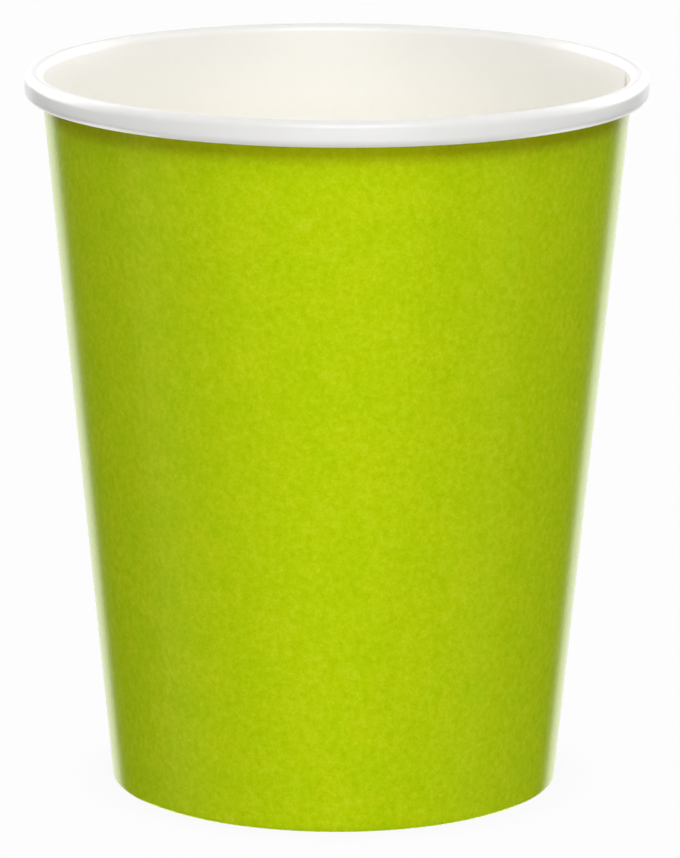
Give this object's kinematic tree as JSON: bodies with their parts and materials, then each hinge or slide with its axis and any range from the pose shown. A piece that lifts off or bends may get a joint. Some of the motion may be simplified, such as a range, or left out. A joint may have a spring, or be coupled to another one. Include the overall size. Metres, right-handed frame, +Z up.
{
  "type": "paper cup",
  "caption": "Tapered single-wall paper cup with a rolled rim, a lapped side seam and a recessed base, lime outside and white inside, for drinks.",
  "frame": {"origin": "centre of the foot ring, on the table", "axes": "+Z up along the cup's axis, +Y away from the viewer, with the side seam just behind +X"},
  "size_m": [0.08, 0.08, 0.0932],
  "materials": {
    "printed_board": "satin",
    "white_board": "satin"
  },
  "bodies": {
    "root": {"side_wall": "printed_board", "base_disc": "white_board"}
  },
  "joints": []
}
